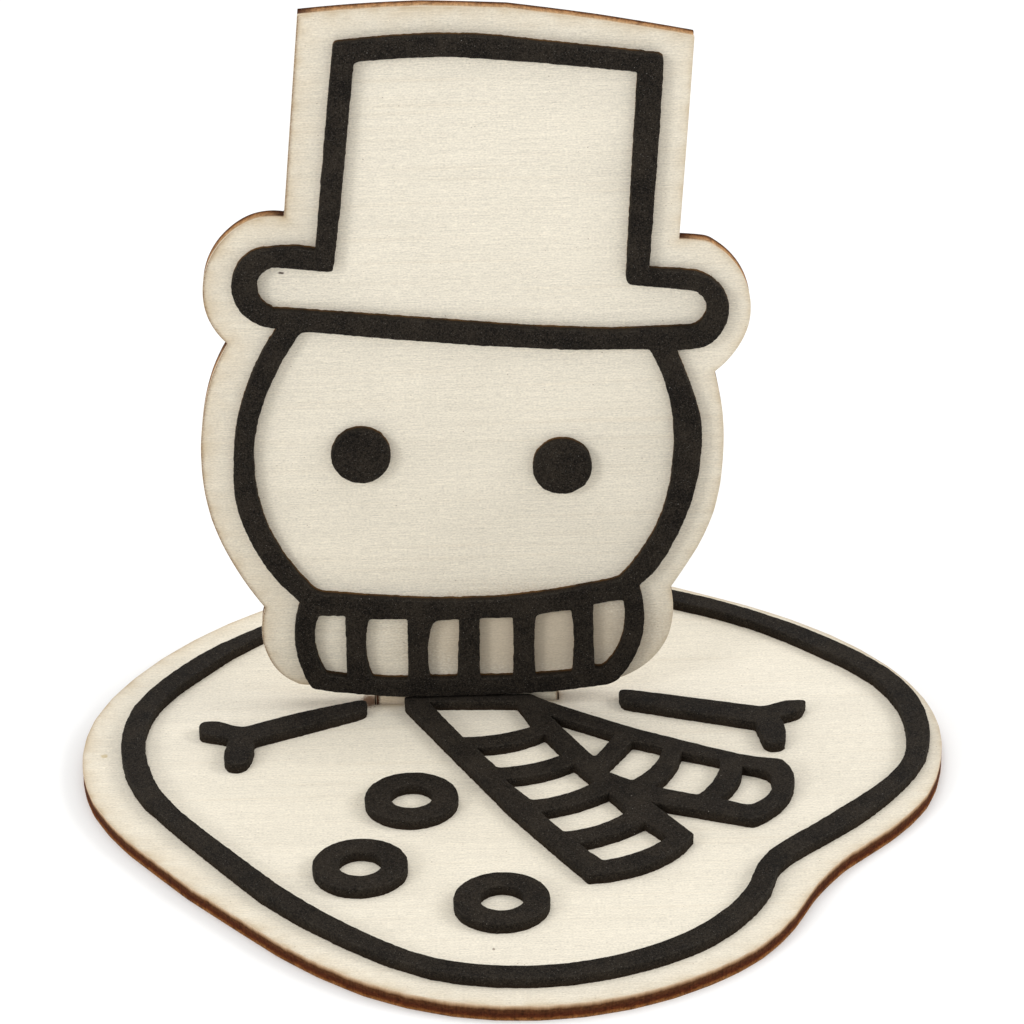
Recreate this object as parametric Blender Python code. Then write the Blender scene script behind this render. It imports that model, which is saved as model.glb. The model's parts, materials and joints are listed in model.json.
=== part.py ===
"""Wooden snowman figure: a melting snowman cut from two sheets of plywood and decorated with foam rubber.

The puddle lies flat. The head stands in a slot of the puddle, on a tab, and lifts straight out of it.
Black foam rubber pieces are glued on both sheets, and draw the hat, face, scarf, arms and buttons.

Outlines are in millimetres, drawn on the sheet's own face: x to the right, y up the sheet, and the
origin where the middle of the head's tab enters the puddle. World units are metres.
"""

import math

import bmesh
import bpy
from mathutils import Vector
from mathutils.geometry import interpolate_bezier

MM = 0.001

# Driving dimensions
PLYWOOD = 3.0  # sheet thickness
FOAM = 2.0  # height of the foam rubber's face above the plywood
GLUE_GAP = 0.3  # clearance under each foam piece
SLOT_GAP = 0.3  # clearance between the tab and each wall of its slot
TAB_WIDTH = 34.0
TAB_DEPTH = 2.9  # just short of the puddle's underside
EYE_RADIUS = 5.4
BUTTON_RADIUS = 8.4
BUTTON_HOLE_RADIUS = 3.9
TURN_PER_STEP = math.radians(9)  # how far a curved edge turns from one point to the next
CORNER_TURN_PER_STEP = math.radians(22)
SHARP_ANGLE = math.radians(30)

PLYWOOD_COLOUR = (0.79, 0.72, 0.58, 1.0)
PLYWOOD_ROUGHNESS = 0.6
FOAM_COLOUR = (0.022, 0.020, 0.018, 1.0)
FOAM_ROUGHNESS = 0.9

# Outlines. A point (x, y) lies on a smooth stretch. A point (x, y, c) is a corner, and its
# rounding starts c before it and ends c after it.
PUDDLE = [
    (8.0, 52.0), (25.0, 49.3), (41.0, 42.8), (55.0, 34.3), (70.0, 21.9), (80.0, 9.0), (85.5, -3.5),
    (87.2, -14.0), (86.2, -26.0), (82.4, -38.2), (75.0, -48.8), (66.0, -58.2), (62.6, -62.9),
    (59.8, -67.5), (55.7, -76.1), (49.3, -85.4), (40.0, -93.1), (26.0, -99.8), (10.5, -102.3),
    (-4.0, -100.4), (-19.0, -93.5), (-34.0, -80.4), (-50.0, -61.6), (-61.0, -46.5), (-68.0, -33.0),
    (-71.0, -16.0), (-69.5, -3.0), (-63.0, 12.0), (-52.0, 26.6), (-39.0, 37.8), (-20.0, 47.4),
]

PUDDLE_RING = [
    (12.0, 45.5), (27.0, 43.3), (40.5, 38.2), (55.0, 29.6), (71.0, 15.7), (79.5, 5.0),
    (83.85, -4.9), (85.1, -16.5), (83.4, -26.6), (77.75, -37.4), (68.65, -48.7), (56.0, -60.6),
    (53.4, -64.6), (51.8, -70.3), (48.0, -77.5), (41.0, -85.6), (29.0, -92.8), (10.0, -97.0),
    (-8.0, -93.4), (-22.0, -83.5), (-37.0, -68.2), (-50.0, -49.3), (-58.5, -36.0), (-62.6, -25.0),
    (-63.9, -13.0), (-62.3, -2.0), (-56.0, 10.2), (-47.0, 21.2), (-38.0, 29.0), (-14.0, 41.0),
]
PUDDLE_RING_INSIDE = [
    (12.0, 41.2), (26.0, 39.2), (40.5, 33.5), (55.1, 24.6), (67.15, 13.15), (76.5, 1.5),
    (80.1, -8.5), (80.6, -19.0), (78.45, -29.7), (71.7, -39.1), (60.0, -50.9), (52.6, -58.2),
    (49.8, -63.3), (47.9, -69.3), (44.0, -76.1), (36.5, -83.7), (25.0, -90.0), (10.0, -92.9),
    (-6.0, -90.0), (-20.0, -80.0), (-34.0, -65.0), (-48.0, -45.6), (-55.5, -33.0), (-58.6, -22.5),
    (-59.6, -11.5), (-57.2, -0.5), (-50.0, 11.0), (-38.7, 24.2), (-27.0, 31.6), (-10.0, 38.4),
]

HEAD = [
    (-26.3, 138.0, 0.0), (-16.0, 138.7), (-5.0, 139.0), (10.0, 138.2), (26.0, 135.6),
    (42.6, 132.2, 0.2), (39.9, 93.6, 0.0), (44.7, 93.1, 0.8), (49.4, 89.3), (52.2, 83.9), (52.5, 77.0),
    (50.2, 71.6), (46.3, 67.3, 0.0), (47.7, 60.0), (47.9, 50.0), (46.3, 39.0), (43.0, 31.0),
    (38.3, 23.2, 0.0), (38.7, 17.5), (37.4, 12.0), (34.0, 7.4), (28.5, 4.2, 1.0),
    (TAB_WIDTH / 2, 4.2, 0.0), (TAB_WIDTH / 2, -TAB_DEPTH, 0.0), (-TAB_WIDTH / 2, -TAB_DEPTH, 0.0),
    (-TAB_WIDTH / 2, 4.5, 0.0), (-30.5, 4.5, 1.0), (-34.6, 7.2), (-37.0, 11.6), (-37.7, 16.5),
    (-36.9, 21.2, 0.0), (-42.2, 30.2), (-45.9, 40.0), (-47.2, 50.0), (-46.5, 60.5), (-44.4, 69.0),
    (-41.3, 75.4, 0.0), (-44.7, 81.0), (-45.2, 86.9), (-43.7, 92.2), (-40.4, 96.6), (-35.4, 99.6),
    (-30.2, 99.8, 0.0),
]

HEAD_CONTOUR = [
    (-20.3, 133.1, 0.8), (-10.0, 133.9), (-2.0, 134.1), (6.0, 133.7), (20.0, 131.75), (37.2, 129.3, 1.2),
    (36.6, 119.0), (34.45, 88.6, 0.0), (42.8, 87.8, 0.8), (46.5, 85.5), (48.6, 82.0), (48.5, 78.4),
    (46.4, 74.6), (43.6, 72.95, 0.8), (39.3, 72.55, 0.0), (41.65, 66.0), (43.75, 58.5), (43.85, 52.0),
    (42.1, 42.0), (39.0, 34.1), (35.6, 28.1), (32.3, 24.6, 0.3), (33.3, 17.6), (31.9, 10.5),
    (27.3, 4.0, 1.0), (16.0, 2.65), (0.0, 2.35), (-12.0, 2.4), (-20.0, 3.2), (-28.7, 4.6, 0.8),
    (-30.9, 10.0), (-31.6, 16.0), (-30.2, 23.0, 0.3), (-35.0, 28.7), (-39.05, 36.4), (-41.2, 44.5),
    (-41.25, 52.0), (-40.1, 61.0), (-36.95, 70.4), (-32.1, 79.0, 0.3), (-36.7, 80.55), (-39.4, 83.9),
    (-40.0, 88.0), (-38.45, 91.75), (-35.8, 93.95), (-32.5, 94.5), (-24.8, 94.0, 0.0),
]
HAT_INSIDE = [
    (-16.8, 129.6, 0.7), (-8.0, 130.15), (0.0, 130.2), (14.0, 128.8), (32.55, 126.45, 0.5), (31.8, 114.0),
    (30.3, 85.9, 1.1), (42.3, 84.35, 1.0), (44.4, 82.4), (44.5, 79.2), (42.2, 77.1, 1.0), (28.0, 76.75),
    (12.0, 77.8), (-10.0, 80.2), (-31.8, 82.5, 1.0), (-34.75, 84.2), (-35.45, 87.0), (-34.7, 89.6),
    (-31.8, 91.0, 1.0), (-21.9, 89.75, 0.7), (-20.35, 100.0), (-18.4, 116.0),
]
FACE_INSIDE = [
    (-27.8, 78.3, 1.0), (-14.0, 76.6), (4.0, 74.6), (20.0, 73.3), (34.4, 73.0, 0.3), (37.15, 66.5),
    (38.65, 59.0), (38.75, 51.0), (36.95, 40.1), (33.7, 32.8), (28.6, 25.9, 1.2), (17.0, 23.7),
    (6.0, 22.5), (-6.0, 22.6), (-16.0, 23.45), (-26.9, 24.7, 1.2), (-32.5, 32.1), (-36.1, 40.4),
    (-37.5, 49.0), (-37.2, 57.0), (-34.35, 66.7),
]
COLLAR_WINDOWS = [
    [
        (-27.0, 20.2, 0.7), (-22.1, 19.9, 0.3), (-22.2, 6.9, 0.2), (-26.0, 7.6, 0.4), (-27.7, 12.4),
        (-27.9, 16.0),
    ],
    [
        (-17.7, 19.1, 0.6), (-10.6, 18.9, 0.2), (-10.8, 6.0, 0.2), (-17.4, 6.4, 0.5), (-18.4, 11.0),
        (-18.4, 15.0),
    ],
    [(-5.8, 18.4, 1.2), (-1.0, 18.6, 0.3), (-1.6, 6.0, 0.2), (-6.7, 6.1, 0.4), (-7.0, 12.0)],
    [(2.8, 18.7, 0.2), (8.9, 18.7, 0.2), (9.0, 12.0), (8.8, 5.9, 0.2), (2.6, 5.9, 0.3)],
    [
        (13.2, 19.1, 0.7), (19.75, 20.0, 0.3), (20.25, 12.5), (19.8, 6.5, 0.2), (13.0, 6.0, 0.3),
        (12.8, 12.0),
    ],
    [
        (23.8, 21.0, 0.3), (29.4, 21.8, 0.3), (29.75, 17.0), (28.5, 11.5), (25.5, 7.3, 0.6),
        (24.0, 7.4, 0.2),
    ],
]

LEFT_ARM = [
    (-49.7, -8.1, 1.6), (-46.4, -8.0, 1.2), (-41.8, -10.7, 1.4), (-22.0, -2.35), (-18.6, -1.35, 1.8),
    (-18.7, -5.5, 1.6), (-39.35, -15.2, 0.5), (-39.4, -17.8), (-40.1, -21.8), (-40.7, -23.1),
    (-41.6, -23.9), (-42.7, -24.05), (-43.8, -23.5), (-44.5, -22.4), (-44.8, -20.8), (-44.6, -18.3),
    (-44.0, -14.5, 0.4), (-49.8, -12.2, 1.6),
]
RIGHT_ARM = [
    (28.3, -0.1, 1.9), (32.2, -1.0), (54.8, -8.2, 1.2), (59.4, -6.1, 1.0), (63.3, -6.1, 1.1),
    (61.95, -10.0, 1.4), (57.85, -12.0, 0.4), (58.55, -15.8), (57.5, -22.0, 1.7), (54.5, -21.6, 1.5),
    (53.1, -13.8, 0.5), (28.7, -4.8, 1.8),
]

SCARF = [
    (-11.6, -0.9, 0.15), (11.6, -0.9, 0.3), (15.0, -3.9), (30.0, -14.3), (44.0, -22.2), (49.5, -25.1),
    (57.0, -27.3, 0.5), (58.8, -33.0), (57.95, -38.2), (55.35, -43.35), (50.4, -48.0, 0.5),
    (32.4, -41.0, 0.0), (39.45, -52.3, 0.15), (36.05, -57.75), (28.95, -62.95), (20.25, -65.05, 0.4),
    (7.15, -42.15), (-11.55, -3.4, 0.3),
]
SCARF_WINDOWS = [
    [(-7.05, -3.0, 0.2), (9.4, -3.8, 0.5), (12.4, -12.8, 0.2), (5.0, -15.8), (-0.85, -16.4, 0.3)],
    [
        (1.5, -20.2, 0.2), (8.0, -19.3), (14.15, -15.8, 0.2), (17.65, -23.1, 0.3), (12.0, -26.3),
        (5.2, -27.6, 0.5),
    ],
    [
        (6.5, -31.8, 0.2), (13.0, -30.4), (19.15, -27.0, 0.2), (22.7, -33.4, 0.3), (17.0, -37.5),
        (11.1, -39.3, 0.6),
    ],
    [
        (12.5, -43.3, 0.2), (19.0, -41.2), (25.05, -37.4, 0.2), (28.2, -43.7, 0.2), (23.0, -48.2),
        (16.5, -50.3, 0.5),
    ],
    [
        (18.9, -54.3, 0.2), (25.0, -51.9), (31.0, -47.8, 0.2), (34.85, -53.0, 0.2), (29.5, -57.6),
        (23.0, -60.2, 0.4),
    ],
    [(15.15, -9.0, 0.3), (27.0, -16.95, 0.2), (23.0, -24.8, 0.2)],
    [
        (30.3, -19.3, 0.3), (35.6, -22.1, 0.2), (33.4, -28.5), (29.4, -33.4, 0.3), (24.5, -29.4, 0.4),
        (28.2, -22.9),
    ],
    [
        (38.95, -24.0, 0.2), (45.85, -27.2, 0.2), (44.4, -33.4), (41.0, -39.0, 0.3), (33.2, -35.7, 0.2),
        (37.4, -28.9),
    ],
    [
        (49.7, -29.5, 0.2), (54.05, -31.6, 1.4), (54.65, -35.5), (53.4, -39.8), (49.8, -43.05, 1.0),
        (44.8, -40.4, 0.4), (48.25, -35.05),
    ],
]

EYES = {"left_eye": (-18.1, 52.9), "right_eye": (18.5, 49.6)}
BUTTONS = {"button_upper": (-10.5, -36.9), "button_middle": (-19.6, -59.2), "button_lower": (5.0, -71.6)}


def tangent(before, here, after):
    """Direction of the circle through three points, at the middle one."""
    back, ahead = here - before, after - here
    return (back.normalized() * ahead.length + ahead.normalized() * back.length).normalized()


def end_tangent(corner, neighbour, beyond, is_corner):
    """Direction at a corner, towards its neighbour: that of an arc meeting the neighbour's own tangent."""
    chord = (neighbour - corner).normalized()
    if is_corner:
        return chord
    onward = tangent(corner, neighbour, beyond)
    return 2 * chord.dot(onward) * chord - onward


def curved_edge(start, start_direction, end, end_direction):
    """Points from start up to, but without, end, along an arc-like curve with these end directions."""
    turn = start_direction.angle(end_direction)
    steps = max(1, math.ceil(turn / TURN_PER_STEP))
    handle = (end - start).length / 3 / math.cos(turn / 4) ** 2
    handles = start + start_direction * handle, end - end_direction * handle
    return [point.xy for point in interpolate_bezier(start, *handles, end, steps + 1)[:-1]]


def rounded_corner(corner, arriving, leaving, cut):
    """The points that replace a corner, rounded from cut before it to cut after it."""
    if not cut:
        return [corner]
    start, end = corner - arriving * cut, corner + leaving * cut
    steps = max(2, math.ceil(arriving.angle(leaving) / CORNER_TURN_PER_STEP))
    fractions = [step / steps for step in range(steps + 1)]
    return [start * (1 - t) ** 2 + corner * 2 * t * (1 - t) + end * t**2 for t in fractions]


def outline(points):
    """The polygon of a closed outline of smooth points and corners."""
    knots = [Vector(point[:2]) for point in points]
    cuts = [point[2] if len(point) == 3 else None for point in points]
    count = len(knots)
    leaving, arriving = [], []
    for i, here in enumerate(knots):
        before, after = knots[i - 1], knots[(i + 1) % count]
        if cuts[i] is None:
            leaving.append(tangent(before, here, after))
            arriving.append(leaving[i])
            continue
        beyond, behind = knots[(i + 2) % count], knots[i - 2]
        leaving.append(end_tangent(here, after, beyond, cuts[(i + 1) % count] is not None))
        arriving.append(-end_tangent(here, before, behind, cuts[i - 1] is not None))
    polygon = []
    for i, here in enumerate(knots):
        after = (i + 1) % count
        edge = curved_edge(here, leaving[i], knots[after], arriving[after])
        first = [here] if cuts[i] is None else rounded_corner(here, arriving[i], leaving[i], cuts[i])
        cut_here, cut_after = cuts[i] or 0, cuts[after] or 0
        inner = [
            point for point in edge[1:]
            if (point - here).length > cut_here and (point - knots[after]).length > cut_after
        ]
        polygon += first + inner
    return polygon


def circle(centre, radius):
    steps = math.ceil(2 * math.pi / TURN_PER_STEP)
    angles = [2 * math.pi * step / steps for step in range(steps)]
    return [Vector(centre) + radius * Vector((math.cos(angle), math.sin(angle))) for angle in angles]


def rectangle(left, right, bottom, top):
    return [Vector(corner) for corner in ((left, bottom), (right, bottom), (right, top), (left, top))]


def material(name, colour, roughness):
    made = bpy.data.materials.new(name)
    made.use_nodes = True
    shader = made.node_tree.nodes["Principled BSDF"]
    shader.inputs["Base Color"].default_value = colour
    shader.inputs["Roughness"].default_value = roughness
    made.diffuse_color = colour
    return made


def flat_piece(name, sheet, edge, openings, bottom, top, colour, roughness):
    """A piece cut square through a sheet, from bottom to top above the plywood's face."""
    shape = bmesh.new()
    for loop in (edge, *openings):
        ring = [shape.verts.new((point.x * MM, point.y * MM, bottom * MM)) for point in loop]
        for start, end in zip(ring, ring[1:] + ring[:1]):
            shape.edges.new((start, end))
    bmesh.ops.triangle_fill(shape, edges=shape.edges[:], use_beauty=True)
    raised = bmesh.ops.extrude_face_region(shape, geom=shape.faces[:])["geom"]
    lifted = [item for item in raised if isinstance(item, bmesh.types.BMVert)]
    bmesh.ops.translate(shape, verts=lifted, vec=(0, 0, (top - bottom) * MM))
    bmesh.ops.recalc_face_normals(shape, faces=shape.faces[:])
    mesh = bpy.data.meshes.new(name)
    shape.to_mesh(mesh)
    shape.free()
    mesh.shade_smooth()
    mesh.set_sharp_from_angle(angle=SHARP_ANGLE)
    mesh.materials.append(material(name, colour, roughness))
    piece = bpy.data.objects.new(name, mesh)
    piece.parent = sheet
    bpy.context.scene.collection.objects.link(piece)


def plywood_piece(name, sheet, edge, openings=()):
    flat_piece(name, sheet, edge, openings, -PLYWOOD, 0, PLYWOOD_COLOUR, PLYWOOD_ROUGHNESS)


def foam_piece(name, sheet, edge, openings=()):
    flat_piece(name, sheet, edge, openings, GLUE_GAP, FOAM, FOAM_COLOUR, FOAM_ROUGHNESS)


def empty(name, parent, location, rotation=(0, 0, 0)):
    made = bpy.data.objects.new(name, None)
    made.parent = parent
    made.location = location
    made.rotation_euler = rotation
    bpy.context.scene.collection.objects.link(made)
    return made


def build_puddle(sheet, edge):
    slot = rectangle(-TAB_WIDTH / 2 - SLOT_GAP, TAB_WIDTH / 2 + SLOT_GAP, -SLOT_GAP, PLYWOOD + SLOT_GAP)
    plywood_piece("base_plate", sheet, edge, [slot])
    foam_piece("base_outline", sheet, outline(PUDDLE_RING), [outline(PUDDLE_RING_INSIDE)])
    foam_piece("left_arm", sheet, outline(LEFT_ARM))
    foam_piece("right_arm", sheet, outline(RIGHT_ARM))
    foam_piece("scarf_tails", sheet, outline(SCARF), [outline(window) for window in SCARF_WINDOWS])
    for name, centre in BUTTONS.items():
        foam_piece(name, sheet, circle(centre, BUTTON_RADIUS), [circle(centre, BUTTON_HOLE_RADIUS)])


def build_head(sheet):
    plywood_piece("head_plate", sheet, outline(HEAD))
    openings = [outline(shape) for shape in (HAT_INSIDE, FACE_INSIDE, *COLLAR_WINDOWS)]
    foam_piece("head_outline", sheet, outline(HEAD_CONTOUR), openings)
    for name, centre in EYES.items():
        foam_piece(name, sheet, circle(centre, EYE_RADIUS))


def main():
    for thing in list(bpy.data.objects):
        bpy.data.objects.remove(thing)
    puddle_edge = outline(PUDDLE)
    xs, ys = [point.x for point in puddle_edge], [point.y for point in puddle_edge]
    middle = (-(min(xs) + max(xs)) / 2 * MM, -(min(ys) + max(ys)) / 2 * MM, 0)
    figure = empty("figure", None, middle)
    puddle_sheet = empty("puddle_sheet", figure, (0, 0, PLYWOOD * MM))
    head_sheet = empty("head_sheet", figure, (0, 0, PLYWOOD * MM), (math.radians(90), 0, 0))
    build_puddle(puddle_sheet, puddle_edge)
    build_head(head_sheet)


main()
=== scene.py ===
"""Looks of the wooden snowman figure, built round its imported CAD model.

Every piece is cut from a sheet: two plywood plates, and black foam rubber glued on them. Each is
rebuilt here from the outline of its CAD solid, with the fine shape of a real cut: plywood with
burnt plies and a softened arris, foam rubber with rounded, slightly ragged edges.

Sheet coordinates are in millimetres: u to the right, v up the sheet, w out of the plywood's face.
"""

import json
import math

import bpy
import numpy as np
from mathutils import Matrix, Vector, kdtree, noise
from mathutils.geometry import delaunay_2d_cdt


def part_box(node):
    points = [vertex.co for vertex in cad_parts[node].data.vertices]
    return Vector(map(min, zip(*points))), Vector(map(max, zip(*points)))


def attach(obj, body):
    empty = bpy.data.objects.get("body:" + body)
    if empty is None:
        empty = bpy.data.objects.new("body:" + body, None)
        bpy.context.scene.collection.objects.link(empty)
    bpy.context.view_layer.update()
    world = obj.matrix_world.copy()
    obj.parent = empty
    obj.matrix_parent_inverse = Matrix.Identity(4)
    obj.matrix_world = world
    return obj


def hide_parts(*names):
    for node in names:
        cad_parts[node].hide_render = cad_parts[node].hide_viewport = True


MM = 0.001

# Shape of the cuts, in millimetres
STEP = 0.3  # distance between points along a cut
BULGE = 0.05  # furthest that a smooth arc leaves its chord
CORNER = math.radians(32)  # an outline that turns more than this at a point has a corner there
INSET_STEP = 0.04  # an inset outline moves this far at a time
INSET_ROUNDING = 0.3  # and its points move this share of the way to their neighbours' middle
SHARP = math.radians(48)  # edges that turn more than this are shaded sharp
FOAM_EDGE = 0.26  # radius of the foam's upper edge
FOAM_EDGE_ANGLES = (90, 67, 45, 22, 0)  # where that edge has its rings, in degrees
FOAM_WALL = ((-0.02, 0.62), (0.0, 0.42), (0.03, 0.2), (0.0, 0.0))  # inset, share of the height
PLY_FACE_RINGS = (0.25, 0.13)  # insets of the rings that lie on a plate's face
PLY_ARRIS = 0.06
FACE_PLY = 0.62  # thickness of the outer plies
PLY_RECESS = 0.05  # how far the burnt core lies behind the outer plies

# Waves, as (length, height) in millimetres
FOAM_RAGGED = ((2.6, 0.06), (1.1, 0.07), (0.6, 0.09))  # along a foam cut
FOAM_WAVE = ((4.0, 0.05), (1.2, 0.03))  # on the foam's upper face
FOAM_WALL_WAVE = ((1.0, 0.05), (0.45, 0.03))  # on the foam's walls

# Points that fill a face, as (spacing, how far from the cut it's used) in millimetres
PLY_FRONT_FILL = ((0.42, 1.4), (0.8, 4.0), (1.8, 99.0))
PLY_BACK_FILL = ((0.6, 1.4), (1.2, 4.0), (3.0, 99.0))
FOAM_FILL = ((0.8, 99.0),)
ROW = 0.87  # distance between two rows of a triangular grid, as a share of the spacing

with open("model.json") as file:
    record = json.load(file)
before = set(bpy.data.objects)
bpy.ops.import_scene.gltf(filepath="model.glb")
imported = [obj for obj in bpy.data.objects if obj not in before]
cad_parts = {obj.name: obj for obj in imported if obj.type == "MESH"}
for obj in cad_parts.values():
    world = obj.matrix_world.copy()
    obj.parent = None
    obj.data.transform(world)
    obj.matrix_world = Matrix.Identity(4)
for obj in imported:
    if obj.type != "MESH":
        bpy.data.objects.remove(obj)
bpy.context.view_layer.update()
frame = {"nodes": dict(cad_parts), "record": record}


# ---------------------------------------------------------------- sheets and outlines


def sheet_matrices():
    """Where the two sheets' faces are: u, v, w to world."""
    low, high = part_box("base_plate")
    head_low, head_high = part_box("head_plate")
    puddle = Matrix.Translation((0, 0, high.z))
    head = Matrix.Translation((0, head_low.y, high.z)) @ Matrix.Rotation(math.radians(90), 4, "X")
    thickness = (high.z - low.z) / MM, (head_high.y - head_low.y) / MM
    return {"base": puddle, "head": head}, dict(zip(("base", "head"), thickness))


SHEETS, THICKNESS = sheet_matrices()


def outlines(node, body):
    """The closed outlines of a CAD piece's front face, in millimetres, the material on their left."""
    to_sheet = SHEETS[body].inverted()
    mesh = frame["nodes"][node].data
    points = np.array([to_sheet @ vertex.co for vertex in mesh.vertices]) / MM
    _, first, index = np.unique(np.round(points, 3), axis=0, return_index=True, return_inverse=True)
    points, index = points[first], index.reshape(-1)
    on_face = points[:, 2] > points[:, 2].max() - 0.01
    following = {}
    edges = set()
    for polygon in mesh.polygons:
        corners = [int(index[i]) for i in polygon.vertices]
        if on_face[corners].all():
            edges |= set(zip(corners, corners[1:] + corners[:1]))
    for start, end in edges:
        if (end, start) not in edges:
            following[start] = end
    loops = []
    while following:
        here, loop = min(following), []
        while here in following:
            loop.append(here)
            here = following.pop(here)
        loops.append(points[loop, :2])
    return loops


def unit(vectors):
    return vectors / np.maximum(np.linalg.norm(vectors, axis=1), 1e-12)[:, None]


def eased(direction, chord, length):
    """The direction, turned towards the chord until its arc bulges no more than BULGE."""
    square = np.array([-chord[1], chord[0]])
    most = 4 * BULGE / length
    angle = float(np.clip(math.atan2(direction @ square, direction @ chord), -most, most))
    return math.cos(angle) * chord + math.sin(angle) * square


def is_corner(loop):
    back, ahead = unit(loop - np.roll(loop, 1, 0)), unit(np.roll(loop, -1, 0) - loop)
    return (back * ahead).sum(1) < math.cos(CORNER)


def dense(loop):
    """The same outline on smooth arcs, with points about STEP apart."""
    back, ahead = loop - np.roll(loop, 1, 0), np.roll(loop, -1, 0) - loop
    back_length, ahead_length = np.linalg.norm(back, axis=1), np.linalg.norm(ahead, axis=1)
    back, ahead = unit(back), unit(ahead)
    corner = is_corner(loop)
    along = unit(back * ahead_length[:, None] + ahead * back_length[:, None])
    points = []
    for i, start in enumerate(loop):
        after = (i + 1) % len(loop)
        chord, length = ahead[i], ahead_length[i]
        leaving, arriving = (eased(along[j], chord, length) for j in (i, after))
        if corner[i]:
            leaving = chord if corner[after] else 2 * (chord @ arriving) * chord - arriving
        if corner[after]:
            arriving = chord if corner[i] else 2 * (chord @ leaving) * chord - leaving
        end = loop[after]
        first, second = start + leaving * length / 3, end - arriving * length / 3
        steps = max(1, round(length / STEP))
        for t in np.arange(steps) / steps:
            s = 1 - t
            point = s**3 * start + 3 * s * s * t * first + 3 * s * t * t * second + t**3 * end
            if not points or np.linalg.norm(point - points[-1]) > 0.6 * STEP:
                points.append(point)
    return np.clip(points, loop.min(0), loop.max(0))


def inward(loop):
    """Directions into the material along a dense outline, smoothed a little at corners."""
    ahead = unit(np.roll(loop, -1, 0) - np.roll(loop, 1, 0))
    normals = np.stack([-ahead[:, 1], ahead[:, 0]], axis=1)
    return unit(np.roll(normals, 1, 0) + 2 * normals + np.roll(normals, -1, 0))


def inset(loop, amount):
    """The outline moved into the material, in small steps that also round its corners.

    The rounding keeps it from folding.
    """
    steps = math.ceil(abs(amount) / INSET_STEP)
    for _ in range(steps):
        middles = (np.roll(loop, 1, 0) + np.roll(loop, -1, 0)) / 2
        loop = loop + inward(loop) * amount / steps + INSET_ROUNDING * (middles - loop)
    return loop


def waves(points, sizes):
    """Smooth irregular heights at points, from waves of these lengths and heights."""
    heights = np.zeros(len(points))
    for length, height in sizes:
        place = [Vector((*point, 0)[:3]) / length for point in points]
        heights += np.array([noise.noise(at + Vector((length * 7, 3, 1))) for at in place]) * height
    return heights


# ---------------------------------------------------------------- cutting a piece


def is_inside(points, loops):
    """Even-odd test of each point against all the outlines."""
    inside = np.zeros(len(points), bool)
    for loop in loops:
        for (ax, ay), (bx, by) in zip(loop, np.roll(loop, -1, 0)):
            spans = (ay > points[:, 1]) != (by > points[:, 1])
            if spans.any():
                cross = ax + (points[:, 1] - ay) / (by - ay if by != ay else 1.0) * (bx - ax)
                inside ^= spans & (points[:, 0] < cross)
    return inside


def distances(points, loops):
    """Distance from each point to the nearest outline point."""
    tree = kdtree.KDTree(sum(len(loop) for loop in loops))
    for i, point in enumerate(np.concatenate(loops)):
        tree.insert((*point, 0), i)
    tree.balance()
    return np.array([tree.find((*point, 0))[2] for point in points])


def scattered(loops, bands):
    """Points that fill the outlines. Each band is the spacing, and how far from a cut it ends."""
    low = np.concatenate(loops).min(0)
    high = np.concatenate(loops).max(0)
    kept, nearest = [], bands[0][0] * 1.1
    for spacing, furthest in bands:
        columns = np.arange(low[0], high[0], spacing)
        rows = np.arange(low[1], high[1], spacing * ROW)
        grid = np.array([(u + (j % 2) * spacing / 2, v) for j, v in enumerate(rows) for u in columns])
        away = distances(grid, loops)
        grid = grid[(away > nearest) & (away < furthest)]
        kept.append(grid[is_inside(grid, loops)])
        nearest = furthest + spacing / 2
    return np.concatenate(kept)


def fill(rings, inner):
    """Triangles that fill the rings, as numbers of the rings' points and then the inner points."""
    points = np.concatenate([*rings, inner]) if len(inner) else np.concatenate(rings)
    edges, start = [], 0
    for ring in rings:
        count = len(ring)
        edges += [(start + i, start + (i + 1) % count) for i in range(count)]
        start += count
    whole_hull = 0
    found = delaunay_2d_cdt([Vector(point) for point in points], edges, [], whole_hull, 1e-7)
    places, _, triangles, sources = found[:4]
    for place, source in zip(places, sources):
        if not source:
            raise ValueError(f"an inset outline crosses itself at {place[0]:.2f}, {place[1]:.2f}")
    places = np.array(places)
    triangles = np.array(triangles)
    triangles = triangles[is_inside(places[triangles].mean(axis=1), rings)]
    first, second = (places[triangles[:, i]] - places[triangles[:, 0]] for i in (1, 2))
    clockwise = first[:, 0] * second[:, 1] < first[:, 1] * second[:, 0]
    triangles[clockwise] = triangles[clockwise][:, ::-1]
    numbers = np.array([source[0] for source in sources])
    return numbers[triangles]


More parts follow.
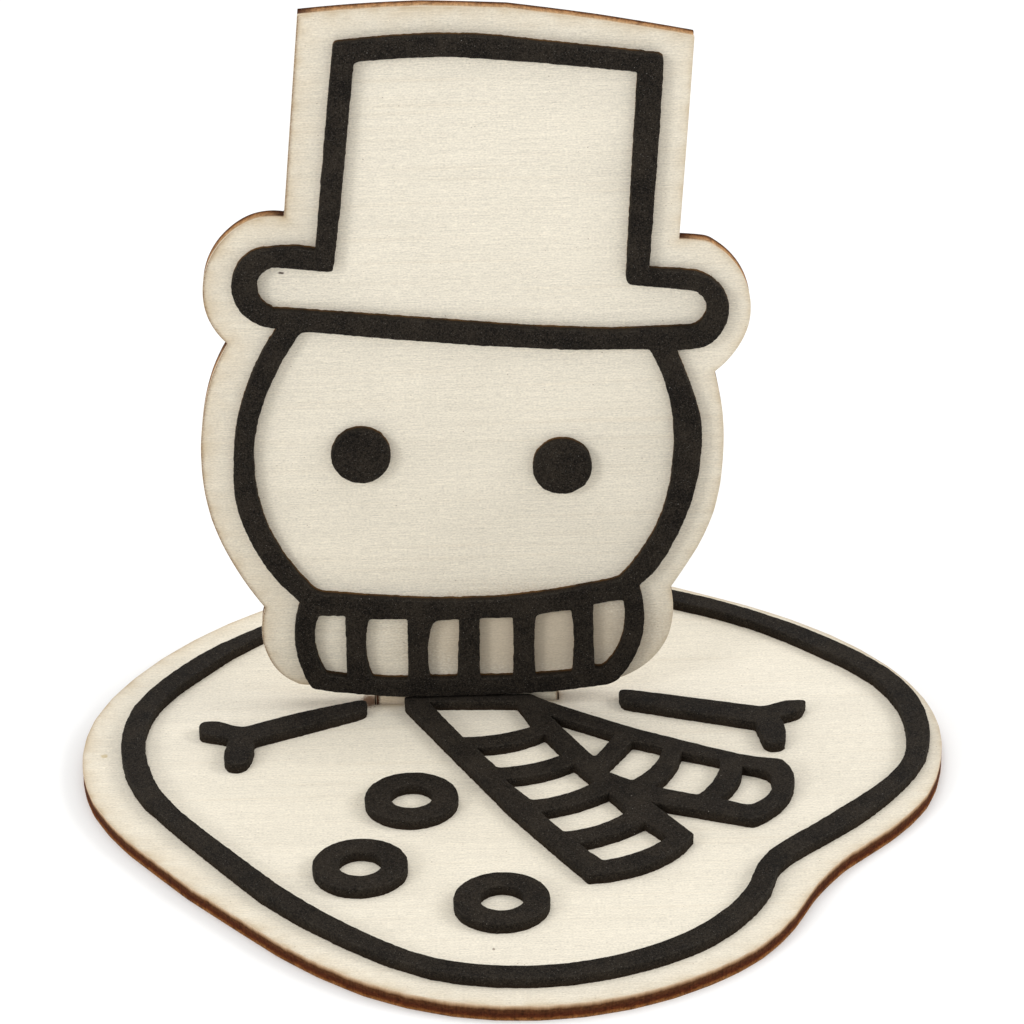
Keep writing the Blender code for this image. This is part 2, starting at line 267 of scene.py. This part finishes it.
class Cut:
    """A piece cut from a sheet: a front fill, a wall of rings, and a back fill."""

    def __init__(self, loops, profile, front_points, back_points):
        """profile lists the rings' (inset, height), from the front down the wall to the back."""
        normals = [inward(loop) for loop in loops]
        rings = [[inset(loop, amount) for loop in loops] for amount, _ in profile]
        flat, heights, self.ring_of = [], [], []
        for number, (level, (_, height)) in enumerate(zip(rings, profile)):
            for loop in level:
                flat.append(loop)
                heights.append(np.full(len(loop), height))
                self.ring_of.append(np.full(len(loop), number))
        per_level = self.per_level = sum(len(loop) for loop in loops)
        total = per_level * len(profile)
        flat += [front_points, back_points]
        heights += [np.full(len(front_points), profile[0][1]), np.full(len(back_points), profile[-1][1])]
        self.ring_of += [np.full(len(front_points), -1), np.full(len(back_points), len(profile))]
        self.ring_of = np.concatenate(self.ring_of)
        self.points = np.column_stack([np.concatenate(flat), np.concatenate(heights)])
        self.outward = np.concatenate([-np.concatenate(normals)] * len(profile))
        self.wall = []
        for level in range(len(profile) - 1):
            start = level * per_level
            for loop in loops:
                for i in range(len(loop)):
                    here, after = start + i, start + (i + 1) % len(loop)
                    self.wall.append((here, here + per_level, after + per_level, after))
                start += len(loop)
        inner = range(total, total + len(front_points))
        number = [*range(per_level), *inner]
        self.front = [[number[i] for i in face] for face in fill(rings[0], front_points)]
        inner = range(total + len(front_points), len(self.points))
        number = [*range(total - per_level, total), *inner]
        self.back = [[number[i] for i in face[::-1]] for face in fill(rings[-1], back_points)]

    def made(self, name, materials, attributes, flat_bands=0):
        """The mesh object. The first material is for the faces and the flat_bands bands next to them."""
        mesh = bpy.data.meshes.new(name)
        faces = self.front + self.back + self.wall
        mesh.from_pydata((self.points * MM).tolist(), [], [list(face) for face in faces])
        for one in materials:
            mesh.materials.append(one)
        if len(materials) > 1:
            numbers = np.zeros(len(faces), np.int32)
            flat_count = len(self.front) + len(self.back) + flat_bands * self.per_level
            numbers[flat_count : len(faces) - flat_bands * self.per_level] = 1
            mesh.polygons.foreach_set("material_index", numbers)
        for label, values in attributes.items():
            layer = mesh.attributes.new(label, "FLOAT", "POINT")
            layer.data.foreach_set("value", values.astype(np.float32))
        mesh.shade_smooth()
        mesh.set_sharp_from_angle(angle=SHARP)
        made = bpy.data.objects.new(name, mesh)
        bpy.context.scene.collection.objects.link(made)
        return made


# ---------------------------------------------------------------- shader helpers


def add(tree, kind, values=None, **settings):
    """A shader node with these settings. A value is a number, a tuple, or an output to link."""
    node = tree.nodes.new(kind)
    for key, value in settings.items():
        setattr(node, key, value)
    for socket, value in (values or {}).items():
        if isinstance(value, bpy.types.NodeSocket):
            tree.links.new(value, node.inputs[socket])
        else:
            node.inputs[socket].default_value = value
    return node


def maths(tree, operation, *values, clamp=False):
    node = add(tree, "ShaderNodeMath", dict(enumerate(values)), operation=operation, use_clamp=clamp)
    return node.outputs[0]


def attribute(tree, name):
    return add(tree, "ShaderNodeAttribute", attribute_name=name).outputs["Fac"]


def grain(tree, sizes, detail=2.0, roughness=0.55, shift=0.0):
    """Noise from 0 to 1 whose blobs have these sizes in millimetres along u, v and w."""
    place = add(tree, "ShaderNodeTexCoord").outputs["Object"]
    values = {0: place, 1: tuple(1 / (size * MM) for size in sizes), 2: (shift, shift, shift)}
    moved = add(tree, "ShaderNodeVectorMath", values, operation="MULTIPLY_ADD").outputs[0]
    values = {"Vector": moved, "Scale": 1.0, "Detail": detail, "Roughness": roughness}
    return add(tree, "ShaderNodeTexNoise", values).outputs["Fac"]


def between(tree, value, low, high, to_low=0.0, to_high=1.0, smooth=True):
    """value's place between low and high, as a number from to_low to to_high."""
    kind = "SMOOTHSTEP" if smooth else "LINEAR"
    values = {"Value": value, "From Min": low, "From Max": high, "To Min": to_low, "To Max": to_high}
    return add(tree, "ShaderNodeMapRange", values, interpolation_type=kind).outputs["Result"]


def ramp(tree, value, stops):
    """The colour at value on a ramp through these (place, colour) stops. Places are from 0 to 1."""
    node = add(tree, "ShaderNodeValToRGB", {"Fac": value})
    elements = node.color_ramp.elements
    while len(elements) < len(stops):
        elements.new(0.5)
    for element, (place, colour) in zip(elements, stops):
        element.position = place
        element.color = (*colour, 1.0)
    return node.outputs["Color"]


def spot(tree, mark):
    """1 inside an oval mark on the sheet, fading to 0 at its edge."""
    u, v, half_width, half_height = mark
    place = add(tree, "ShaderNodeTexCoord").outputs["Object"]
    scale = (1 / (half_width * MM), 1 / (half_height * MM), 0.0)
    centre = (-u / half_width, -v / half_height, 0.0)
    moved = add(tree, "ShaderNodeVectorMath", {0: place, 1: scale, 2: centre}, operation="MULTIPLY_ADD")
    length = add(tree, "ShaderNodeVectorMath", {0: moved.outputs[0]}, operation="LENGTH")
    ragged = grain(tree, (0.5, 0.3, 0.5), detail=2.0, shift=51.0)
    reach = maths(tree, "ADD", ragged, length.outputs["Value"])
    return between(tree, reach, 0.9, 1.5, 1.0, 0.0)


def mix(tree, share, first, second, blend="MIX"):
    """Two colours mixed. Each is a colour or an output."""
    node = add(tree, "ShaderNodeMix", data_type="RGBA", blend_type=blend)
    for socket, value in ((0, share), (6, first), (7, second)):
        if isinstance(value, bpy.types.NodeSocket):
            tree.links.new(value, node.inputs[socket])
        else:
            node.inputs[socket].default_value = value if socket == 0 else (*value, 1.0)
    return node.outputs[2]


def scaled(tree, colour, tone):
    values = {0: colour, "Scale": tone}
    return add(tree, "ShaderNodeVectorMath", values, operation="SCALE").outputs[0]


def material(name):
    made = bpy.data.materials.new(name)
    made.use_nodes = True
    return made, made.node_tree, made.node_tree.nodes["Principled BSDF"]


# ---------------------------------------------------------------- plywood

WOOD = (0.800, 0.742, 0.622)
WOOD_SMOKE = (0.52, 0.385, 0.215)
WOOD_BURN = (0.16, 0.075, 0.03)
WOOD_PORE = (0.50, 0.41, 0.29)
EDGE_CHAR = (0.045, 0.013, 0.006)
MARKS = {  # on each sheet's front: centre u, v, half width, half height, colour, strength
    "base": (
        (-75.1, 8.65, 0.9, 0.9, (0.50, 0.36, 0.12), 0.55),
        (-4.8, -59.5, 0.35, 0.5, (0.10, 0.06, 0.03), 0.75),
        (-26.4, 26.3, 2.0, 3.2, (0.20, 0.11, 0.055), 1.0),
    ),
    "head": (
        (-39.25, 89.1, 0.65, 0.36, (0.05, 0.03, 0.02), 0.95),
        # painted shade: a broad brown oval over the collar and lower face darkens the wood in the
        # collar's windows and round them
        (4.0, 14.0, 32.0, 13.0, (0.50, 0.38, 0.24), 0.5),
        # painted shade under the collar on the tab's front, with some burn
        (-20.5, 0.6, 6.5, 2.2, (0.45, 0.32, 0.19), 0.5),
        (-25.2, 1.0, 1.2, 4.0, (0.06, 0.018, 0.004), 1.0),
        (8.9, 0.8, 0.4, 1.8, (0.25, 0.13, 0.06), 0.7),
    ),
}
# The cut edge's colours from the face to the back, as (share of the thickness, colour)
EDGE_COLOURS = {
    "base": (
        (0.00, (0.62, 0.49, 0.35)), (0.10, (0.43, 0.29, 0.175)), (0.21, (0.26, 0.150, 0.078)),
        (0.31, (0.085, 0.033, 0.012)), (0.60, (0.060, 0.016, 0.006)), (0.76, (0.085, 0.022, 0.007)),
        (0.87, (0.200, 0.078, 0.023)), (1.00, (0.26, 0.135, 0.057)),
    ),
    "head": (
        (0.00, (0.62, 0.53, 0.40)), (0.18, (0.52, 0.38, 0.24)), (0.34, (0.42, 0.245, 0.120)),
        (0.62, (0.38, 0.200, 0.085)), (0.80, (0.17, 0.070, 0.027)), (0.92, (0.05, 0.018, 0.009)),
    ),
}

# Burns on a plate, as (strength, reach in millimetres)
DRIFTED_SMOKE = (0.50, 3.2)  # from the cut
RIM_SMOKE = (0.34, 0.6)  # from the cut
CORNER_CHAR = (0.95, 2.6)  # from the outline's corners
LEAST_DRIFT = 0.4  # share of the drifted smoke on the clean side
SCORCH = 0.12  # of every cut
SIDE_SCORCH = 1.3  # added where the cut faces the burnt side
SCORCH_REACH = 0.20


def tones(tree, parts):
    """1 plus the sum of each noise, centred, times its strength."""
    total = None
    for value, strength in parts:
        centred = maths(tree, "MULTIPLY_ADD", value, strength, -0.5 * strength)
        total = centred if total is None else maths(tree, "ADD", total, centred)
    return maths(tree, "ADD", total, 1.0)


def wood_face(body):
    """The pale outer ply: straight fine grain, pores, marks, and smoke near the cuts."""
    made, tree, shader = material("plywood_face_" + body)
    streaks = grain(tree, (14.0, 0.32, 3.0), detail=3.0)
    fibres = grain(tree, (1.8, 0.21, 2.0), detail=2.0, shift=5.0)
    short = grain(tree, (0.45, 0.26, 1.0), detail=1.0, shift=15.0)
    bands = grain(tree, (90.0, 7.0, 20.0), detail=2.0, shift=9.0)
    clouds = grain(tree, (22.0, 14.0, 20.0), detail=2.0, shift=2.0)
    tone = tones(tree, ((streaks, 0.30), (fibres, 0.46), (short, 0.52), (bands, 0.12), (clouds, 0.12)))
    colour = scaled(tree, WOOD, tone)
    warm = between(tree, grain(tree, (60.0, 1.2, 20.0), detail=2.0, shift=61.0), 0.52, 0.78, 0.0, 0.10)
    colour = mix(tree, warm, colour, WOOD_SMOKE)
    pores = between(tree, grain(tree, (1.5, 0.16, 1.0), detail=1.0, shift=13.0), 0.68, 0.80, 0.0, 0.45)
    colour = mix(tree, pores, colour, WOOD_PORE)
    specks = grain(tree, (0.55, 0.40, 1.0), detail=0.0, shift=21.0)
    specks = between(tree, specks, 0.845, 0.88, 0.0, 0.6)
    colour = mix(tree, specks, colour, WOOD_BURN)
    patchy = between(tree, grain(tree, (5.0, 4.0, 5.0), detail=2.0, shift=31.0), 0.3, 0.7, 0.55, 1.25)
    smoke = maths(tree, "MULTIPLY", attribute(tree, "smoke"), patchy, clamp=True)
    colour = mix(tree, smoke, colour, WOOD_SMOKE)
    fine = between(tree, grain(tree, (0.5, 0.35, 0.5), detail=2.0, shift=41.0), 0.25, 0.7, 0.4, 1.3)
    scorch = maths(tree, "MULTIPLY", attribute(tree, "scorch"), fine, clamp=True)
    colour = mix(tree, scorch, colour, WOOD_BURN)
    in_front = between(tree, attribute(tree, "depth"), 0.2, 0.6, 1.0, 0.0)
    # the marks are burns and spots; on the head two of them are painted shade, over the collar and under
    # it
    for *mark, mark_colour, strength in MARKS[body]:
        share = maths(tree, "MULTIPLY", maths(tree, "MULTIPLY", spot(tree, mark), in_front), strength)
        colour = mix(tree, share, colour, mark_colour)
    tree.links.new(colour, shader.inputs["Base Color"])
    roughness = between(tree, streaks, 0.2, 0.8, 0.62, 0.74, smooth=False)
    tree.links.new(roughness, shader.inputs["Roughness"])
    shader.inputs["Specular IOR Level"].default_value = 0.25
    height = maths(tree, "ADD", fibres, maths(tree, "MULTIPLY", pores, -1.2))
    bump = add(tree, "ShaderNodeBump", {"Strength": 0.3, "Distance": 0.06 * MM, "Height": height})
    tree.links.new(bump.outputs["Normal"], shader.inputs["Normal"])
    return made


def wood_edge(body):
    """The laser's cut through the plies: burnt, mottled, and grooved by the beam."""
    made, tree, shader = material("plywood_edge_" + body)
    wander = grain(tree, (2.6, 2.6, 6.0), detail=3.0, shift=3.0)
    depth = maths(tree, "MULTIPLY", attribute(tree, "depth"), 1 / THICKNESS[body])
    depth = maths(tree, "ADD", depth, maths(tree, "MULTIPLY_ADD", wander, 0.24, -0.12), clamp=True)
    colour = ramp(tree, depth, EDGE_COLOURS[body])
    patches = between(tree, grain(tree, (2.4, 2.4, 3.0), detail=3.0, shift=27.0), 0.50, 0.72, 0.0, 0.6)
    char = maths(tree, "MAXIMUM", patches, attribute(tree, "char"))
    behind = between(tree, depth, 0.05, 0.35)
    colour = mix(tree, maths(tree, "MULTIPLY", char, behind, clamp=True), colour, EDGE_CHAR)
    grooves = grain(tree, (0.24, 0.24, 2.2), detail=2.0, shift=7.0)
    blots = grain(tree, (0.60, 0.60, 0.35), detail=3.0, shift=17.0)
    mottled = scaled(tree, colour, tones(tree, ((grooves, 0.9), (blots, 2.0))))
    plain = scaled(tree, colour, tones(tree, ((grooves, 0.4),)))
    colour = mix(tree, between(tree, depth, 0.08, 0.35), plain, mottled)
    tree.links.new(colour, shader.inputs["Base Color"])
    shader.inputs["Roughness"].default_value = 0.85
    shader.inputs["Specular IOR Level"].default_value = 0.06
    bump = add(tree, "ShaderNodeBump", {"Strength": 0.5, "Distance": 0.06 * MM, "Height": grooves})
    tree.links.new(bump.outputs["Normal"], shader.inputs["Normal"])
    return made


def plywood_piece(name, node, body, smoke_side, burnt_side):
    """A plywood plate. Smoke drifted to smoke_side, and cuts that face burnt_side are burnt most."""
    coarse = outlines(node, body)
    loops = [dense(loop) for loop in coarse]
    thickness = THICKNESS[body]
    face = [(amount, 0.0) for amount in PLY_FACE_RINGS]
    arris = [(PLY_ARRIS, 0.0), (PLY_ARRIS * 0.3, -PLY_ARRIS * 0.3), (0.0, -PLY_ARRIS)]
    walls = [
        (0.0, -FACE_PLY + 0.1), (PLY_RECESS, -FACE_PLY), (PLY_RECESS * 1.3, -thickness / 2),
        (PLY_RECESS, -thickness + FACE_PLY), (0.0, -thickness + FACE_PLY - 0.1),
    ]
    under = [(amount, -thickness - height) for amount, height in reversed([*face, *arris])]
    profile = face + arris + walls + under
    front_points = scattered(loops, PLY_FRONT_FILL)
    back_points = scattered(loops, PLY_BACK_FILL)
    cut = Cut(loops, profile, front_points, back_points)
    flat = cut.points[:, :2]
    away = distances(flat, loops)
    level = cut.ring_of
    on_ring = (level >= 0) & (level < len(profile))
    away[on_ring] = np.array([amount for amount, _ in profile])[level[on_ring]]
    side = flat @ np.array(smoke_side) / np.abs(flat).max()
    drift = LEAST_DRIFT + (1 - LEAST_DRIFT) / (1 + np.exp(-7 * (side - 0.25)))
    facing = np.zeros(len(flat))
    facing[: len(cut.outward)] = np.clip(cut.outward @ np.array(burnt_side), 0, 1)
    corners = np.concatenate([loop[is_corner(loop)] for loop in coarse])
    (drifted, drifted_reach), (rim, rim_reach) = DRIFTED_SMOKE, RIM_SMOKE
    char, char_reach = CORNER_CHAR
    attributes = {
        "smoke": drift * drifted * np.exp(-away / drifted_reach) + rim * np.exp(-away / rim_reach),
        "scorch": (SCORCH + SIDE_SCORCH * facing**2) * np.exp(-away / SCORCH_REACH),
        "char": char * np.exp(-((distances(flat, [corners]) / char_reach) ** 2)),
        "depth": -cut.points[:, 2],
    }
    piece = cut.made(name, [wood_face(body), wood_edge(body)], attributes, len(face))
    return placed(piece, body, node)


# ---------------------------------------------------------------- foam rubber

FOAM_DARK = (0.0036, 0.0027, 0.0020)
FOAM_LIGHT = (0.0310, 0.0245, 0.0180)
# colour of the painted highlight along the foam's rounded upper edge
FOAM_RIM_HIGHLIGHT = (0.040, 0.034, 0.027)
FOAM_CUT = (0.0180, 0.0100, 0.0045)
FOAM_SINGED = (0.130, 0.066, 0.022)
FOAM_DUST = (0.34, 0.32, 0.29)
FOAM_BURN = {"base": 0.6, "head": 1.0}  # how brown the cut is on each plate


def foam_rubber():
    """Charcoal foam rubber: matte, finely pored, dusty, with a brownish singed cut."""
    made, tree, shader = material("foam_rubber")
    pores = grain(tree, (0.30, 0.30, 0.30), detail=3.0, roughness=0.75)
    patches = grain(tree, (6.0, 6.0, 6.0), detail=2.0, shift=3.0)
    share = between(tree, maths(tree, "MULTIPLY_ADD", patches, 0.3, pores), 0.53, 0.77, smooth=False)
    colour = mix(tree, share, FOAM_DARK, FOAM_LIGHT)
    sparks = between(tree, grain(tree, (0.17, 0.17, 0.17), detail=1.0, shift=33.0), 0.66, 0.82, 0.0, 0.5)
    colour = mix(tree, sparks, colour, FOAM_DUST)
    cut = attribute(tree, "cut")
    colour = mix(tree, between(tree, cut, 0.1, 0.8, 0.0, 0.8), colour, FOAM_CUT)
    singed = between(tree, patches, 0.3, 0.6, 0.2, 1.0)
    singed = maths(tree, "MULTIPLY", singed, between(tree, cut, 0.5, 1.0), clamp=True)
    colour = mix(tree, singed, colour, FOAM_SINGED)
    # painted highlight: the rounded upper edge is lightened in broken patches
    rim_highlight_breakup = grain(tree, (1.1, 1.1, 1.1), detail=3.0, shift=11.0)
    rim = maths(tree, "MULTIPLY", attribute(tree, "rim"), between(tree, rim_highlight_breakup, 0.4, 0.75, 0.0, 0.7))
    colour = mix(tree, rim, colour, FOAM_RIM_HIGHLIGHT)
    place = add(tree, "ShaderNodeTexCoord").outputs["Object"]
    cells = add(tree, "ShaderNodeTexVoronoi", {"Vector": place, "Scale": 1 / (1.5 * MM)}, feature="F1")
    rare = add(tree, "ShaderNodeSeparateColor", {"Color": cells.outputs["Color"]}).outputs
    size = between(tree, rare["Red"], 0.50, 1.0, 0.0, 0.085, smooth=False)
    near = maths(tree, "SUBTRACT", size, cells.outputs["Distance"])
    dust = between(tree, near, 0.0, 0.035, 0.0, 0.75)
    dust = maths(tree, "MULTIPLY", dust, rare["Green"])
    colour = mix(tree, dust, colour, FOAM_DUST)
    tree.links.new(colour, shader.inputs["Base Color"])
    roughness = between(tree, patches, 0.25, 0.75, 0.72, 0.86, smooth=False)
    tree.links.new(roughness, shader.inputs["Roughness"])
    shader.inputs["Specular IOR Level"].default_value = 0.10
    height = maths(tree, "ADD", pores, maths(tree, "MULTIPLY", dust, 1.5))
    bump = add(tree, "ShaderNodeBump", {"Strength": 0.8, "Distance": 0.08 * MM, "Height": height})
    tree.links.new(bump.outputs["Normal"], shader.inputs["Normal"])
    return made


def foam_piece(name, node, body):
    """A foam rubber piece, with a rounded upper edge and ragged, wavy walls."""
    loops = [dense(loop) for loop in outlines(node, body)]
    loops = [loop + inward(loop) * waves(loop, FOAM_RAGGED)[:, None] for loop in loops]
    top = foam_height(node, body)
    rounding = []
    for angle in FOAM_EDGE_ANGLES:
        turn = math.radians(angle)
        rounding.append((FOAM_EDGE * (1 - math.cos(turn)), top - FOAM_EDGE * (1 - math.sin(turn))))
    profile = rounding + [(amount, top * share) for amount, share in FOAM_WALL]
    front_points = scattered(loops, FOAM_FILL)
    cut = Cut(loops, profile, front_points, np.zeros((0, 2)))
    level = cut.ring_of
    on_top = level <= 0
    cut.points[on_top, 2] += waves(cut.points[on_top, :2], FOAM_WAVE)
    on_wall = (level > 0) & (level < len(profile) - 1)
    rough = waves(cut.points[on_wall], FOAM_WALL_WAVE)
    cut.points[on_wall, :2] += cut.outward[on_wall[: len(cut.outward)]] * rough[:, None]
    height = cut.points[:, 2] / top
    # the rim rings are the rounded upper edge, where the material paints a highlight
    in_rim = (level >= 1) & (level <= 3)
    attributes = {
        "cut": np.where(level > 2, FOAM_BURN[body] * (1.0 - height), 0.0),
        "rim": np.where(in_rim, 1.0, 0.0),
    }
    piece = cut.made(name, [FOAM], attributes)
    return placed(piece, body, node)


def foam_height(node, body):
    """How far a foam piece's face stands above the plywood, in millimetres."""
    low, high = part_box(node)
    to_sheet = SHEETS[body].inverted()
    return max((to_sheet @ low).z, (to_sheet @ high).z) / MM


def placed(piece, body, node):
    piece.matrix_world = SHEETS[body]
    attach(piece, body)
    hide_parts(node)
    return piece


# ---------------------------------------------------------------- the figure

FOAM = foam_rubber()

plywood_piece("puddle_plate", "base_plate", "base", (-0.3, -0.1), (-0.5, 0.1))
plywood_piece("snowman_head_plate", "head_plate", "head", (-1.0, 0.2), (-1.0, -0.1))
for body, nodes in frame["record"]["behaviour"]["bodies"].items():
    for node in nodes:
        if not node.endswith("_plate"):
            foam_piece("foam_" + node, node, body)


# ---------------------------------------------------------------- camera, floor and light


def camera():
    """A long lens in front of the figure, a little above it."""
    data = bpy.data.cameras.new("camera")
    data.lens, data.sensor_width = 155.31, 36.0
    data.clip_start, data.clip_end = 0.05, 20.0
    made = bpy.data.objects.new("camera", data)
    bpy.context.scene.collection.objects.link(made)
    yaw, pitch, roll = math.radians(0.873), math.radians(27.57), math.radians(1.142)
    level = math.cos(pitch)
    forward = Vector((math.sin(yaw) * level, math.cos(yaw) * level, -math.sin(pitch)))
    right = Vector((math.cos(yaw), -math.sin(yaw), 0))
    down = forward.cross(right)
    across = math.cos(roll) * right + math.sin(roll) * down
    up = math.sin(roll) * right - math.cos(roll) * down
    turned = Matrix((across, up, -forward)).transposed().to_4x4()
    made.matrix_world = Matrix.Translation((-0.00986, -0.69335, 0.4180)) @ turned
    bpy.context.scene.camera = made


def floor():
    """A wide pale floor, a hair below the figure."""
    mesh = bpy.data.meshes.new("floor")
    half = 3.0
    corners = [(-half, -half, 0), (half, -half, 0), (half, half, 0), (-half, half, 0)]
    mesh.from_pydata(corners, [], [(0, 1, 2, 3)])
    made, _, shader = material("floor")
    shader.inputs["Base Color"].default_value = (0.97, 0.97, 0.965, 1)
    shader.inputs["Roughness"].default_value = 0.9
    shader.inputs["Specular IOR Level"].default_value = 0.0
    mesh.materials.append(made)
    plane = bpy.data.objects.new("floor", mesh)
    plane.location.z = -0.02 * MM
    bpy.context.scene.collection.objects.link(plane)


def softbox(name, place, size, power):
    """A square white light that faces the origin."""
    data = bpy.data.lights.new(name, "AREA")
    data.shape, data.size, data.size_y = "RECTANGLE", size, size
    data.energy = power
    made = bpy.data.objects.new(name, data)
    made.location = place
    made.rotation_euler = (-Vector(place)).to_track_quat("-Z", "Y").to_euler()
    bpy.context.scene.collection.objects.link(made)


def light():
    world = bpy.data.worlds.new("studio")
    world.use_nodes = True
    background = world.node_tree.nodes["Background"]
    background.inputs["Color"].default_value = (1.0, 1.0, 1.0, 1)
    background.inputs["Strength"].default_value = 0.75
    bpy.context.scene.world = world
    softbox("key", (1.15, -0.1, 0.75), 0.5, 6.0)
    softbox("above", (-0.25, 0.2, 1.5), 0.9, 4.5)
    softbox("front", (-1.25, -1.1, 0.75), 0.40, 7.7)
    bpy.context.scene.view_settings.view_transform = "Standard"


camera()
floor()
light()
